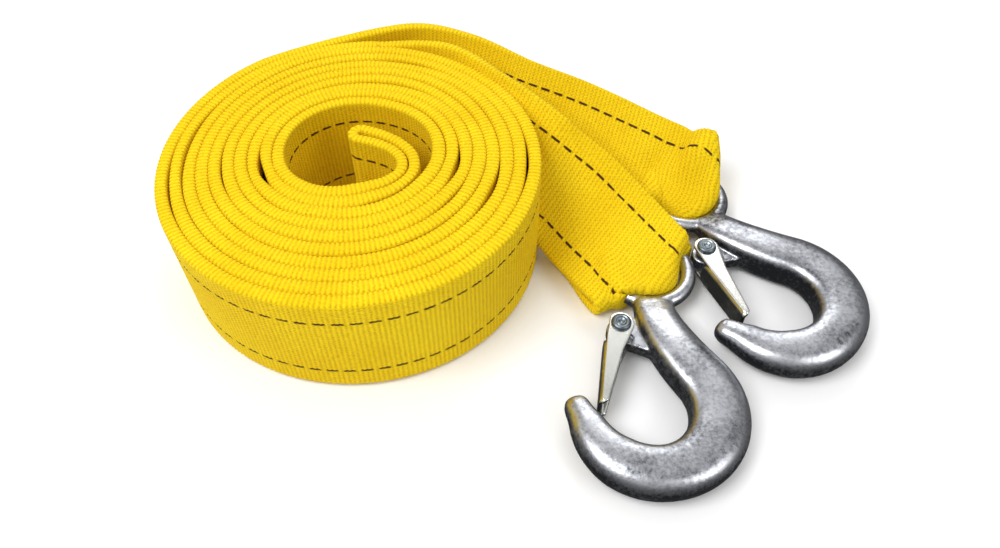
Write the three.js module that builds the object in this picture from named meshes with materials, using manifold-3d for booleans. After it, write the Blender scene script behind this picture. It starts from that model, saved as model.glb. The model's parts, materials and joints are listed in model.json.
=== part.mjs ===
// Tow strap: one woven strap, wound double from its middle, with a snap hook in the sewn loop at each end.
// Millimetres, +Z up. The roll stands on its edge on the floor and both hooks lie flat beside it.

import * as THREE from 'three';
import { mergeVertices } from 'three/addons/utils/BufferGeometryUtils.js';
import Module from 'manifold-3d';

const wasm = await Module();
wasm.setup();

// Webbing
const webbingWidth = 50;
const webbingThickness = 4.2;

// Roll: a doubled strap wound from the bore outwards
const pairTurns = 4.5;
const layersAcross = 10;
const layerGap = 0.63;
const boreRadius = 27.7;
const boreShiftX = -2.75;
const boreShiftY = 5.7;
const boreStretch = 1.2;
const stationsPerTurn = 28;

// Hook forging
const eyeRadius = 16;
const eyeWireRadius = 3.2;
const bowlRadius = 24.7;
const bowlCentre = new THREE.Vector2(-6.5, -65);
const bowlEntryAngle = 35;
const bowlTipAngle = -165;
const tipLength = 12;
const shankBow = 26.7;
const hookThickness = 16;
const lugThickness = 5.6;
const lugRadius = 5.2;
const lugRoot = [new THREE.Vector2(-4, -40), new THREE.Vector2(1, -24)];

// Latch, rivet and spring
const rivetPlace = new THREE.Vector2(-15, -29.7);
const rivetRadius = 2.4;
const rivetHeadRadius = 3.7;
const rivetHeadHeight = 1.4;
const latchSheet = 1.5;
const latchRestInset = 10.8;
const latchHeight = 12;
const latchBack = 6;
const latchEarRadius = 5;
const latchToeDepth = 3.8;
const latchEarLength = 12;
const latchEarDepth = 1.3;
const webStart = 7;
const springWire = 0.8;
const springTurns = 2;

// Loop of webbing round each eye
const loopHalfWidth = 9.5;
const loopReach = 14.5;
const loopTopHeight = 16.5;
const loopNarrowFrom = 17;
const loopNarrowTo = 5;
const lapStart = 24;
const lapLength = 48;
const lapThickness = 1.8 * webbingThickness;
const lapSink = 0.6 * webbingThickness;
const lapInset = 0.6;

// Clearances
const slideGap = 0.3;
const pinGap = 0.25;

// Where the eyes lie, from the roll's axis and its outer face
const frontEyeOut = 37.5;
const frontEyeAside = -24.5;
const backEyeOut = 58.2;
const backEyeAside = 17.5;
const backHookTurn = 32.8;

const degrees = Math.PI / 180;
const upward = new THREE.Vector3(0, 0, 1);
const midHeight = webbingWidth / 2;
const hookMid = hookThickness / 2;

const yellow = new THREE.MeshStandardMaterial({ color: 0xf2d018, roughness: 0.85, metalness: 0 });
const zinc = new THREE.MeshStandardMaterial({ color: 0x9a9da2, roughness: 0.38, metalness: 1 });
const sheetZinc = new THREE.MeshStandardMaterial({ color: 0xb4b6b4, roughness: 0.3, metalness: 1 });
const wireSteel = new THREE.MeshStandardMaterial({ color: 0x6d7075, roughness: 0.35, metalness: 1 });

const assembly = new THREE.Group();

// Solids

function merged(geometry) {
  const bare = geometry.clone();
  bare.deleteAttribute('normal');
  bare.deleteAttribute('uv');
  return mergeVertices(bare, 1e-4);
}

function toSolid(geometry) {
  const clean = merged(geometry);
  return new wasm.Manifold(new wasm.Mesh({
    numProp: 3,
    vertProperties: Float32Array.from(clean.attributes.position.array),
    triVerts: Uint32Array.from(clean.index.array),
  }));
}

function toGeometry(solid) {
  const mesh = solid.getMesh();
  const geometry = new THREE.BufferGeometry();
  geometry.setAttribute('position', new THREE.BufferAttribute(Float32Array.from(mesh.vertProperties), 3));
  geometry.setIndex(new THREE.BufferAttribute(Uint32Array.from(mesh.triVerts), 1));
  geometry.computeVertexNormals();
  return geometry;
}

// A rod or ribbon: a box or cylinder whose sections are carried along a list of frames.
// Each frame has a centre and two half-axes, along and across the section.
function ribbon(frames) {
  const shape = merged(new THREE.BoxGeometry(1, 1, 1, frames.length - 1, 1, 1));
  const place = shape.attributes.position;
  const point = new THREE.Vector3();
  for (let i = 0; i < place.count; i++) {
    const frame = frames[Math.round((place.getX(i) + 0.5) * (frames.length - 1))];
    point.copy(frame.centre);
    point.addScaledVector(frame.face, 2 * place.getY(i));
    point.addScaledVector(frame.edge, 2 * place.getZ(i));
    place.setXYZ(i, point.x, point.y, point.z);
  }
  return shape;
}

function rod(frames, sides, squareness) {
  const shape = merged(new THREE.CylinderGeometry(1, 1, 1, sides, frames.length - 1));
  const place = shape.attributes.position;
  const point = new THREE.Vector3();
  const power = 2 / squareness;
  for (let i = 0; i < place.count; i++) {
    const frame = frames[Math.round((0.5 - place.getY(i)) * (frames.length - 1))];
    const a = place.getX(i);
    const b = place.getZ(i);
    point.copy(frame.centre);
    point.addScaledVector(frame.face, Math.sign(a) * Math.abs(a) ** power);
    point.addScaledVector(frame.edge, Math.sign(b) * Math.abs(b) ** power);
    place.setXYZ(i, point.x, point.y, point.z);
  }
  return shape;
}

// Roll

function boreAt(angle) {
  return boreRadius + boreShiftY * Math.sin(angle) + boreShiftX * Math.cos(angle)
    + boreStretch * Math.cos(2 * angle);
}

const rollRadius = boreAt(Math.PI / 2) + layersAcross * (webbingThickness + layerGap);

function pitchAt(angle) {
  return (rollRadius - boreAt(angle)) / layersAcross;
}

// The centre of a layer, by its depth in layers from the outside and its turns from the back
function layerPoint(depth, turns) {
  const angle = Math.PI / 2 + 2 * Math.PI * turns;
  const radius = boreAt(angle) + (layersAcross - depth) * pitchAt(angle);
  return new THREE.Vector3(radius * Math.cos(angle), radius * Math.sin(angle), midHeight);
}

function woundLayer(firstDepth, startTurn) {
  const points = [];
  const first = Math.round(startTurn * stationsPerTurn);
  for (let i = first; i <= pairTurns * stationsPerTurn; i++) {
    const turns = i / stationsPerTurn;
    points.push(layerPoint(firstDepth + 2 * turns, turns));
  }
  return points;
}

// Inside the bore the pair of layers leaves the wall and ends in the fold at the strap's middle.
// Its route is given by how far its middle lies from the roll's axis, in each direction.
const foldRoute = [[-48, 20.4], [-22, 21.2], [0, 19.3], [26, 15.6], [60, 13], [92, 13.8]];
const foldSpread = 3.2;

function foldPoints() {
  const before = layerPoint(2 * pairTurns + 1, pairTurns);
  const earlier = layerPoint(2 * pairTurns + 1 - 2 / stationsPerTurn, pairTurns - 1 / stationsPerTurn);
  const route = [earlier, before];
  for (const [angle, radius] of foldRoute) {
    const a = angle * degrees;
    route.push(new THREE.Vector3(radius * Math.cos(a), radius * Math.sin(a), midHeight));
  }
  const curve = new THREE.CatmullRomCurve3(route);
  const steps = 26;
  const bendSteps = 6;
  const inner = [];
  const outer = [];
  const startSpread = pitchAt(-Math.PI / 2) / 2;
  const narrow = (webbingThickness + layerGap) / 2;
  let tip = null;
  for (let i = 3; i <= steps; i++) {
    const u = i / steps;
    const centre = curve.getPointAt(u);
    const heading = curve.getTangentAt(u);
    const inward = new THREE.Vector3(-heading.y, heading.x, 0);
    const mid = THREE.MathUtils.lerp(startSpread, narrow, Math.min(1, 2 * u));
    const spread = THREE.MathUtils.lerp(mid, foldSpread, THREE.MathUtils.smoothstep(u, 0.6, 1));
    inner.push(centre.clone().addScaledVector(inward, spread));
    outer.push(centre.clone().addScaledVector(inward, -spread));
    tip = { centre, heading, inward };
  }
  const bend = [];
  for (let k = 1; k < bendSteps; k++) {
    const angle = Math.PI * (0.5 - k / bendSteps);
    bend.push(tip.centre.clone()
      .addScaledVector(tip.inward, foldSpread * Math.sin(angle))
      .addScaledVector(tip.heading, foldSpread * Math.cos(angle)));
  }
  return [...inner, ...bend, ...outer.reverse()];
}

// Tails and loops

// The loop seen from its side: [distance ahead of the eye's far wire, height] of the webbing's middle
const loopLow = webbingThickness / 2;
const noseRadius = (loopTopHeight - loopLow) / 2;
const runSteps = 4;

function tailFrames(tail) {
  const { eye, pull, knots, begin } = tail;
  const aside = new THREE.Vector3(-pull.y, pull.x, 0);
  const wire = eye.clone().addScaledVector(pull, -eyeRadius);
  const inLoop = (ahead, height) => wire.clone().addScaledVector(pull, ahead).setZ(height);

  // Top run, from the roll to the loop
  const start = begin[begin.length - 1];
  const finish = inLoop(-lapStart, knots.endHeight);
  const span = finish.clone().sub(start).setZ(0);
  const left = new THREE.Vector3(-span.y, span.x, 0).normalize();
  const route = begin.map((p) => p.clone());
  const leans = begin.map(() => 90);
  for (const [along, off, height, lean] of knots.list) {
    route.push(start.clone().addScaledVector(span, along).addScaledVector(left, off).setZ(height));
    leans.push(lean);
  }
  route.push(finish);
  for (const ahead of [-loopReach / 2, loopReach / 4, loopReach]) route.push(inLoop(ahead, loopTopHeight));
  leans.push(knots.endLean, 6, 0, 0);
  const curve = new THREE.CatmullRomCurve3(route, false, 'centripetal');
  const frames = [];
  const segments = route.length - 1;
  const first = begin.length - 1;
  for (let k = first * runSteps; k <= segments * runSteps; k++) {
    const t = k / (segments * runSteps);
    const centre = curve.getPoint(t);
    const heading = curve.getTangent(t);
    const at = Math.min(segments - 1, Math.floor(k / runSteps));
    const lean = THREE.MathUtils.lerp(leans[at], leans[at + 1], k / runSteps - at) * degrees;
    const level = new THREE.Vector3(-heading.y, heading.x, 0).normalize();
    const across = level.multiplyScalar(Math.cos(lean)).addScaledVector(upward, Math.sin(lean));
    frames.push({ centre, heading, across });
  }

  // Nose of the loop, inside the eye, and the lower run back under the eye's wire
  const noseCentre = inLoop(loopReach, loopLow + noseRadius);
  const steps = 8;
  for (let k = 1; k <= steps; k++) {
    const angle = Math.PI * (0.5 - k / steps);
    const centre = noseCentre.clone()
      .addScaledVector(pull, noseRadius * Math.cos(angle))
      .addScaledVector(upward, noseRadius * Math.sin(angle));
    const heading = pull.clone().multiplyScalar(Math.sin(angle)).addScaledVector(upward, -Math.cos(angle));
    frames.push({ centre, heading, across: aside.clone() });
  }
  for (const ahead of [loopReach / 2, 0, -loopReach / 2]) {
    frames.push({ centre: inLoop(ahead, loopLow), heading: pull.clone().negate(), across: aside.clone() });
  }
  for (const frame of frames) {
    frame.behind = -frame.centre.clone().sub(wire).dot(pull);
    frame.normal = frame.across.clone().cross(frame.heading).normalize();
  }
  return frames;
}

// Half the width of the webbing, which is gathered behind the eye to pass through it
function halfWidthAt(behind) {
  const share = THREE.MathUtils.smoothstep(behind, loopNarrowTo, loopNarrowFrom);
  return THREE.MathUtils.lerp(loopHalfWidth, webbingWidth / 2, share);
}

function sized(frames) {
  return frames.map((frame) => ({
    centre: frame.centre,
    face: frame.normal.clone().multiplyScalar((frame.thickness ?? webbingThickness) / 2),
    edge: frame.across.clone().multiplyScalar(frame.half ?? halfWidthAt(frame.behind)),
  }));
}

// The strap's end, sewn to the underside of its own top run and fused to it there
function lapFrames(frames) {
  const lower = frames.slice(-1)[0];
  const under = [];
  for (const frame of frames) {
    if (frame.behind > lapStart - 4 && frame.behind < lapStart + lapLength && frame.heading.z > -0.9) {
      const down = frame.normal.clone();
      if (down.z > 0) down.negate();
      under.push({
        ...frame,
        centre: frame.centre.clone().addScaledVector(down, lapSink),
        half: halfWidthAt(frame.behind) - lapInset,
        thickness: lapThickness,
      });
    }
  }
  under.reverse();
  const joint = { ...lower, centre: lower.centre.clone().addScaledVector(lower.heading, -3) };
  for (const frame of under) {
    frame.heading = frame.heading.clone().negate();
    frame.normal = frame.across.clone().cross(frame.heading).normalize();
  }
  return [joint, lower, ...under];
}

const frontEye = new THREE.Vector3(rollRadius + frontEyeOut, frontEyeAside, 0);
const backEye = new THREE.Vector3(rollRadius + backEyeOut, backEyeAside, 0);
const frontPull = new THREE.Vector3(0.6, -0.8, 0);
const backPull = new THREE.Vector3(0.8, -0.6, 0);

// Inner layer of the pair: leaves the roll at the back and runs to the front hook
const frontTail = tailFrames({
  eye: frontEye,
  pull: frontPull,
  begin: [2, 0].map((station) => layerPoint(1.5 + 2 * station / stationsPerTurn, station / stationsPerTurn)),
  knots: {
    list: [[0.25, 7, 28, 82], [0.48, 3, 30, 62], [0.74, -2, 25.5, 42]],
    endHeight: 17.5,
    endLean: 24,
  },
});

// Outer layer: leaves a little earlier, bulges out and runs to the back hook
const backTail = tailFrames({
  eye: backEye,
  pull: backPull,
  begin: [4, 3].map((station) => layerPoint(0.5 + 2 * station / stationsPerTurn, station / stationsPerTurn)),
  knots: {
    list: [
      [0.2, 11, 25.2, 90], [0.38, 19, 25.6, 88], [0.55, 19, 26.8, 74], [0.72, 14, 26.2, 54], [0.87, 7, 22.6, 37],
    ],
    endHeight: 17,
    endLean: 24,
  },
});

function strapGeometry() {
  const wound = [
    ...woundLayer(1.5, 0).slice(1),
    ...foldPoints(),
    ...woundLayer(0.5, 3 / stationsPerTurn).slice(1).reverse(),
  ];
  const roll = wound.map((centre, i) => {
    const before = wound[Math.max(0, i - 1)];
    const after = wound[Math.min(wound.length - 1, i + 1)];
    const heading = after.clone().sub(before).normalize();
    const normal = upward.clone().cross(heading);
    return { centre, heading, across: upward.clone(), normal, half: webbingWidth / 2 };
  });
  const inward = frontTail.map((frame) => ({ ...frame, normal: frame.normal.clone().negate() })).reverse();
  const whole = [...inward, ...roll, ...backTail];
  let solid = toSolid(ribbon(sized(whole)));
  for (const tail of [frontTail, backTail]) solid = solid.add(toSolid(ribbon(sized(lapFrames(tail)))));
  return toGeometry(solid);
}

function addPart(parent, name, geometry, material) {
  const mesh = new THREE.Mesh(geometry, material);
  mesh.name = name;
  parent.add(mesh);
  return mesh;
}

addPart(assembly, 'strap', strapGeometry(), yellow);

// Hook, in its own frame: the eye's centre at the origin, +Z the side that faces up

// Middle line of the forging: a bowed shank from the eye, the bowl's arc and the straight tip
function hookPoint(part, u) {
  const entry = bowlEntryAngle * degrees;
  const out = new THREE.Vector2(Math.cos(entry), Math.sin(entry)).multiplyScalar(bowlRadius).add(bowlCentre);
  if (part === 'shank') {
    const start = new THREE.Vector2(0, 1 - eyeRadius);
    const along = new THREE.Vector2(-Math.sin(entry), Math.cos(entry));
    const curve = new THREE.QuadraticBezierCurve(start, out.clone().addScaledVector(along, shankBow), out);
    return { at: curve.getPoint(u), heading: curve.getTangent(u) };
  }
  const angle = THREE.MathUtils.lerp(entry, bowlTipAngle * degrees, part === 'bowl' ? u : 1);
  const at = new THREE.Vector2(Math.cos(angle), Math.sin(angle)).multiplyScalar(bowlRadius).add(bowlCentre);
  const heading = new THREE.Vector2(Math.sin(angle), -Math.cos(angle));
  if (part === 'tip') at.addScaledVector(heading, tipLength * u);
  return { at, heading };
}

// [stretch, share of it, half the width in the hook's plane, share of the hook's full thickness]
const hookSections = [
  ['shank', 0, 8.5, 0.4], ['shank', 0.14, 8.2, 0.58], ['shank', 0.3, 8.6, 0.78], ['shank', 0.48, 9.2, 0.9],
  ['shank', 0.66, 9.8, 0.98], ['shank', 0.84, 10.3, 1],
  ['bowl', 0, 10.7, 1], ['bowl', 0.1, 11, 1], ['bowl', 0.2, 11.1, 1], ['bowl', 0.3, 10.9, 1],
  ['bowl', 0.4, 10.4, 1], ['bowl', 0.5, 9.8, 1], ['bowl', 0.6, 9.4, 1], ['bowl', 0.7, 9.5, 0.99],
  ['bowl', 0.8, 9.6, 0.94], ['bowl', 0.9, 8.6, 0.85], ['bowl', 1, 7, 0.75],
  ['tip', 0.4, 5.9, 0.65], ['tip', 0.75, 5, 0.55], ['tip', 0.95, 3.8, 0.43], ['tip', 1.06, 2, 0.24],
];

function hookGeometry() {
  const frames = hookSections.map(([part, u, wide, thick]) => {
    const { at, heading } = hookPoint(part, u);
    return {
      centre: new THREE.Vector3(at.x, at.y, hookMid),
      face: new THREE.Vector3(heading.y, -heading.x, 0).multiplyScalar(wide),
      edge: new THREE.Vector3(0, 0, -thick * hookMid),
    };
  });
  let solid = toSolid(rod(frames, 14, 2.5));
  const eye = new THREE.TorusGeometry(eyeRadius, eyeWireRadius, 10, 36);
  eye.translate(0, 0, hookMid);
  solid = solid.add(toSolid(eye));
  const lugTop = hookMid + lugThickness / 4;
  const lugBottom = lugTop - lugThickness;
  const lug = new THREE.Shape();
  lug.absarc(rivetPlace.x, rivetPlace.y, lugRadius, 95 * degrees, 250 * degrees, false);
  for (const corner of lugRoot) lug.lineTo(corner.x, corner.y);
  const options = { depth: lugThickness, bevelEnabled: false, curveSegments: 10 };
  const plate = new THREE.ExtrudeGeometry(lug, options);
  plate.translate(0, 0, lugBottom);
  solid = solid.add(toSolid(plate));
  const bore = new THREE.CylinderGeometry(rivetRadius + pinGap, rivetRadius + pinGap, 4 * lugThickness, 20);
  bore.rotateX(Math.PI / 2);
  bore.translate(rivetPlace.x, rivetPlace.y, hookMid);
  return toGeometry(solid.subtract(toSolid(bore)));
}

// Latch, in its own frame: the rivet at the origin, +X towards its free end, +Y into the hook

// The free end stops inside the hook's tip, level with the bowl's centre
const latchMid = latchHeight / 2;
const latchRest = new THREE.Vector2(latchRestInset - bowlRadius, 0).add(bowlCentre).sub(rivetPlace);
const latchLength = latchRest.length();
const latchLean = Math.atan2(latchRest.y, latchRest.x);

function latchOutline() {
  const shape = new THREE.Shape();
  shape.absarc(0, 0, latchEarRadius, 65 * degrees, 232 * degrees, false);
  shape.lineTo(0.5, -latchBack);
  shape.lineTo(latchLength - 0.8, -latchBack);
  shape.quadraticCurveTo(latchLength + 0.6, -latchBack, latchLength, 2.2 - latchBack);
  shape.lineTo(latchLength - 2, latchToeDepth - 1 - latchBack);
  shape.lineTo(latchEarLength, latchEarDepth);
  return shape;
}

function latchGeometry() {
  const options = { depth: latchHeight, bevelEnabled: false, curveSegments: 10 };
  const block = new THREE.ExtrudeGeometry(latchOutline(), options);
  block.translate(0, 0, -latchMid);
  let solid = toSolid(block);
  const reach = 3 * latchEarRadius;
  const pocket = new THREE.BoxGeometry(latchLength + 2 * reach, 2 * reach, latchHeight - 2 * latchSheet);
  pocket.translate(latchLength / 2, reach - latchBack + latchSheet, 0);
  solid = solid.subtract(toSolid(pocket));
  const behindWeb = new THREE.BoxGeometry(2 * reach, 4 * latchSheet, latchHeight - 2 * latchSheet);
  behindWeb.translate(webStart - reach, -latchBack, 0);
  solid = solid.subtract(toSolid(behindWeb));
  const hole = new THREE.CylinderGeometry(rivetRadius + pinGap, rivetRadius + pinGap, 2 * latchHeight, 20);
  hole.rotateX(Math.PI / 2);
  return toGeometry(solid.subtract(toSolid(hole)));
}

function rivetGeometry() {
  const grip = latchMid + slideGap;
  const top = grip + rivetHeadHeight;
  const head = rivetHeadRadius;
  const profile = [
    [0, -top], [head - 0.9, -top], [head, -top + 0.8], [head, -grip], [rivetRadius, -grip],
    [rivetRadius, grip], [head, grip], [head, top - 0.8], [head - 0.9, top],
    [1.5, top], [1.2, top - 0.7], [0, top - 0.7],
  ];
  const shape = new THREE.LatheGeometry(profile.map(([x, y]) => new THREE.Vector2(x, y)), 20);
  return shape.rotateX(Math.PI / 2);
}

// Torsion spring round the rivet, above the lug, with its fixed leg against the shank
function springGeometry() {
  const coilRadius = rivetRadius + pinGap + springWire / 2 + 0.3;
  const low = lugThickness / 4 + slideGap + springWire / 2;
  const rise = springWire + 0.1;
  const points = [];
  const steps = 12;
  for (let i = 0; i <= springTurns * steps; i++) {
    const angle = 2 * Math.PI * i / steps + 40 * degrees;
    const height = low + rise * i / steps;
    points.push(new THREE.Vector3(coilRadius * Math.cos(angle), coilRadius * Math.sin(angle), height));
  }
  const curve = new THREE.CatmullRomCurve3(points);
  const round = new THREE.Shape();
  round.absarc(0, 0, springWire / 2, 0, 2 * Math.PI, false);
  return new THREE.ExtrudeGeometry(round, {
    steps: springTurns * steps, curveSegments: 3, bevelEnabled: false, extrudePath: curve,
  });
}

const hookShape = hookGeometry();
const latchShape = latchGeometry();
const rivetShape = rivetGeometry();
const springShape = springGeometry();

function addHook(end, eye, turn) {
  const hook = new THREE.Group();
  hook.position.copy(eye);
  hook.rotation.z = turn * degrees;
  assembly.add(hook);
  addPart(hook, `hook_${end}`, hookShape, zinc);
  const pivot = new THREE.Group();
  pivot.position.set(rivetPlace.x, rivetPlace.y, hookMid);
  hook.add(pivot);
  addPart(pivot, `rivet_${end}`, rivetShape, zinc);
  addPart(pivot, `latch_spring_${end}`, springShape, wireSteel);
  const latch = addPart(pivot, `latch_${end}`, latchShape, sheetZinc);
  latch.rotation.z = latchLean;
}

addHook('front', frontEye, 0);
addHook('back', backEye, backHookTurn);

// The origin is under the middle of the whole object, on the floor
assembly.updateMatrixWorld(true);
const extent = new THREE.Box3().setFromObject(assembly, true);
const middle = extent.getCenter(new THREE.Vector3());
assembly.position.set(-middle.x, -middle.y, -extent.min.z);

export default assembly;
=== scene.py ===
"""Tow strap: a wound yellow strap with a snap hook in the loop at each end."""
import json
import math

import bmesh
import bpy
import numpy as np
from mathutils import Matrix, Vector


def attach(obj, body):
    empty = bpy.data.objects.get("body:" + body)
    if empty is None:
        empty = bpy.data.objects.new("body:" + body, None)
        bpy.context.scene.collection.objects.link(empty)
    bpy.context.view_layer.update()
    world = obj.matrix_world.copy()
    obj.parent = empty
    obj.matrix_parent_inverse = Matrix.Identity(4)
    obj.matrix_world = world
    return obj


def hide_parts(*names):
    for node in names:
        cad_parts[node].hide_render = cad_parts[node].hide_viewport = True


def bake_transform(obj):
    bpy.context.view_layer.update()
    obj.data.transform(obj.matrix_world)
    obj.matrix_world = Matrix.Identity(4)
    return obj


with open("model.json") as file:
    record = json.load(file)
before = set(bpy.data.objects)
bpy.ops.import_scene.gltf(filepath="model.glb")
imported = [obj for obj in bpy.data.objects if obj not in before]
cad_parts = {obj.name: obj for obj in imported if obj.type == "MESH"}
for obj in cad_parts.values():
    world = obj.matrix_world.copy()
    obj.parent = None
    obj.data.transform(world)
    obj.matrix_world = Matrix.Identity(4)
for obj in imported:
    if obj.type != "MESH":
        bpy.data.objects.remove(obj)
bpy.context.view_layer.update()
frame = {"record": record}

MM = 0.001
UP = np.array([0.0, 0.0, 1.0])

# Webbing, in millimetres
WEB_WIDTH = 50.0
WEB_THICK = 4.2
THREAD_INSET = 10.0
THREAD_PERIOD = 6.3
THREAD_DASH = 4.5
THREAD_WIDE = 1.1
RIB_PITCH = 1.8
RIB_HEIGHT = 0.13
SELVEDGE = 1.3
BEAD = 0.12
YARN_PITCH = 1.35
STEP = 0.6
WALL_INSET = 2.2

# Roll: its axis is the origin of the working plan
LAYERS = 10
LAYER_PITCH = 4.83
PAIR_TURNS = 4.5
STATIONS = 28
BORE_RADIUS = 27.7
BORE_SHIFT = (-2.75, 5.7)
BORE_STRETCH = 1.2
PRESSED = 0.05
LIFT = 0.9
UPRIGHT = WEB_WIDTH / 2 + LIFT
WEB_FLAT = WEB_WIDTH / 2 - SELVEDGE
# The turns' uneven upper edges: [height, length of a swell]
SWELLS = [[0.45, 41.0], [0.3, 17.3]]

# Hooks
EYE_RADIUS = 16.0
EYE_WIRE = 3.2
HOOK_MID = 8.0
BACK_TURN = math.radians(32.8)
FRONT_PULL = np.array([0.6, -0.8, 0.0])
BACK_PULL = np.array([0.8, -0.6, 0.0])
FRONT_EYE_OUT = (37.5, -24.5)

# Open gaps between turns: [direction from the axis in degrees, boundary, spread in degrees, width]
GAPS = [
    [-168, 1, 13, 1.1], [176, 2, 20, 1.2], [-172, 5, 13, 0.7], [-169, 8, 13, 2.2], [35, 7, 22, 0.6],
    [-8, 6, 13, 2.0], [-30, 5, 11, 0.9], [-18, 3, 12, 1.6], [-2, 1, 12, 1.1], [-60, 4, 25, 0.5],
    [74, 2, 14, 1.5], [120, 3, 25, 0.5], [-110, 2, 30, 0.45], [-130, 6, 20, 0.5], [70, 5, 20, 0.5],
    [-80, 7, 20, 0.4],
]


def bore_at(angle):
    return (BORE_RADIUS + BORE_SHIFT[1] * np.sin(angle) + BORE_SHIFT[0] * np.cos(angle)
            + BORE_STRETCH * np.cos(2 * angle))


ROLL_RADIUS = bore_at(math.pi / 2) + LAYERS * LAYER_PITCH

# The frame gives the eyes' far wires and the rivets; the roll's axis follows from the front eye
JOINTS = {joint["name"]: np.array(joint["pos_m"]) / MM for joint in frame["record"]["behaviour"]["joints"]}
ROLL_PLACE = (JOINTS["front_hook_swing"] + EYE_RADIUS * FRONT_PULL
              - np.array([ROLL_RADIUS + FRONT_EYE_OUT[0], FRONT_EYE_OUT[1], 0.0]))
ROLL_PLACE[2] = 0.0


def smooth(value, low, high):
    t = np.clip((np.asarray(value, float) - low) / (high - low), 0.0, 1.0)
    return t * t * (3 - 2 * t)


def unit(vectors):
    return vectors / np.maximum(np.linalg.norm(vectors, axis=-1, keepdims=True), 1e-9)


# Camera: close by, looking down between the roll and the hooks
CAMERA_TILT = math.radians(51.5)
CAMERA_DISTANCE = 345.0
CAMERA_LENS = 29.0
CAMERA_AIM = ROLL_PLACE + np.array([56.0, -19.0, 0.0])


def add(obj):
    bpy.context.scene.collection.objects.link(obj)
    return obj


def make_camera():
    data = bpy.data.cameras.new("camera")
    data.lens = CAMERA_LENS
    data.sensor_width = 36.0
    data.clip_start = 0.01
    camera = add(bpy.data.objects.new("camera", data))
    back = np.array([0.0, -math.cos(CAMERA_TILT), math.sin(CAMERA_TILT)])
    camera.location = Vector((CAMERA_AIM + CAMERA_DISTANCE * back) * MM)
    camera.rotation_euler = (math.pi / 2 - CAMERA_TILT, 0.0, 0.0)
    bpy.context.scene.camera = camera


make_camera()


# Materials

class Nodes:
    """A short way to write a node tree."""

    def __init__(self, name):
        self.material = bpy.data.materials.new(name)
        self.material.use_nodes = True
        self.tree = self.material.node_tree
        self.shader = self.tree.nodes["Principled BSDF"]

    def node(self, kind, inputs=None, **settings):
        made = self.tree.nodes.new(kind)
        for key, value in settings.items():
            setattr(made, key, value)
        for key, value in (inputs or {}).items():
            self.set(made, key, value)
        return made

    def set(self, node, key, value):
        if isinstance(value, bpy.types.NodeSocket):
            self.tree.links.new(value, node.inputs[key])
        else:
            node.inputs[key].default_value = value

    def math(self, operation, a, b=0.0):
        return self.node("ShaderNodeMath", {0: a, 1: b}, operation=operation).outputs[0]

    def mix(self, factor, a, b):
        made = self.node("ShaderNodeMix", data_type="RGBA")
        self.set(made, 0, factor)
        self.set(made, 6, a)
        self.set(made, 7, b)
        return made.outputs[2]

    def ramp(self, value, low, high, from_low=0.0, from_high=1.0):
        made = self.node("ShaderNodeMapRange", {0: value, 1: from_low, 2: from_high, 3: low, 4: high})
        return made.outputs[0]

    def noise(self, vector, scale, detail=2.0, rough=0.5):
        made = self.node("ShaderNodeTexNoise", {"Scale": scale, "Detail": detail, "Roughness": rough})
        self.set(made, "Vector", vector)
        return made.outputs[0]

    def bump(self, height, strength, distance):
        made = self.node("ShaderNodeBump", {"Strength": strength, "Distance": distance})
        self.set(made, "Height", height)
        return made.outputs[0]

    def attribute(self, name):
        return self.node("ShaderNodeAttribute", attribute_name=name).outputs["Fac"]


def srgb(red, green, blue):
    def linear(value):
        value /= 255
        return value / 12.92 if value <= 0.04045 else ((value + 0.055) / 1.055) ** 2.4
    return (linear(red), linear(green), linear(blue), 1.0)


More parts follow.
